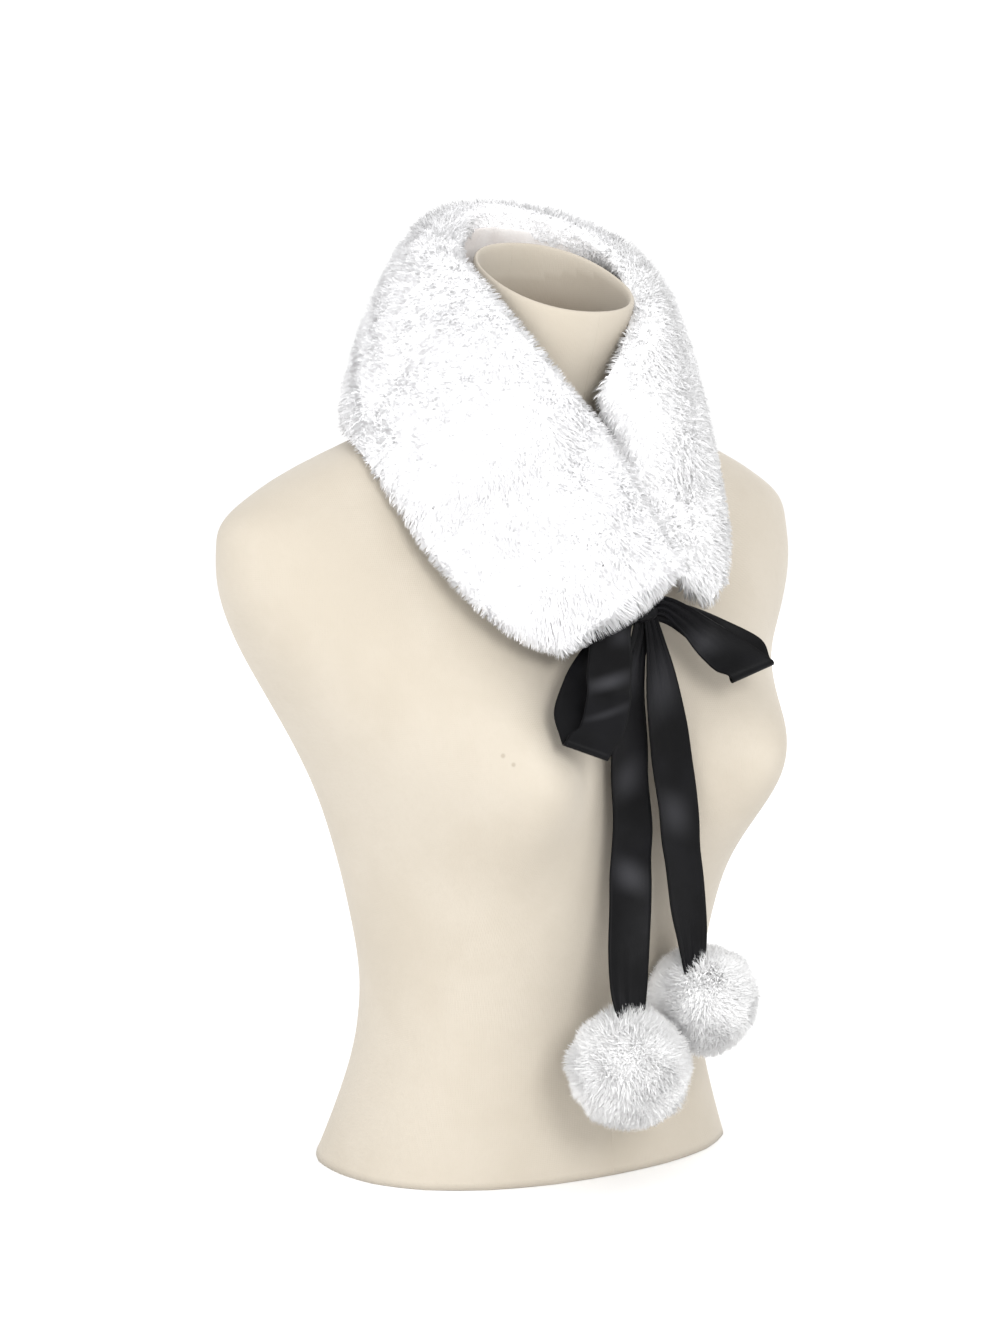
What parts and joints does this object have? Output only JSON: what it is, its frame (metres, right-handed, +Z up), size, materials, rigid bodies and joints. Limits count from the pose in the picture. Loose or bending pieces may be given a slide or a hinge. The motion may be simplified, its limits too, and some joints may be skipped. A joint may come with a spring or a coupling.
{
  "type": "faux fur scarf on a dress form",
  "caption": "Faux fur scarf worn crossed on a limbless dress form, closed by a satin ribbon bow with a fur pompom on each tail.",
  "frame": {"origin": "centre of the dress form's flat base, on the surface it stands on", "axes": "+Z up through the neck; the front faces -Y, and the form's right side is at -X"},
  "size_m": [0.4, 0.2737, 0.5711],
  "materials": {
    "form_cover": "close matt cover of cream jersey",
    "fur": "soft white faux fur",
    "lining_satin": "smooth off-white satin",
    "ribbon_satin": "black satin with a soft sheen",
    "pompom_fur": "dense white faux fur"
  },
  "bodies": {
    "root": {"dress_form": "form_cover", "fur_front_right": "fur", "fur_back": "fur", "fur_front_left": "fur", "lining": "lining_satin", "bow_knot": "ribbon_satin", "bow_loop_right": "ribbon_satin", "bow_loop_left": "ribbon_satin", "bow_tail_right": "ribbon_satin", "bow_tail_left": "ribbon_satin", "pompom_right": "pompom_fur", "pompom_left": "pompom_fur"}
  },
  "joints": []
}
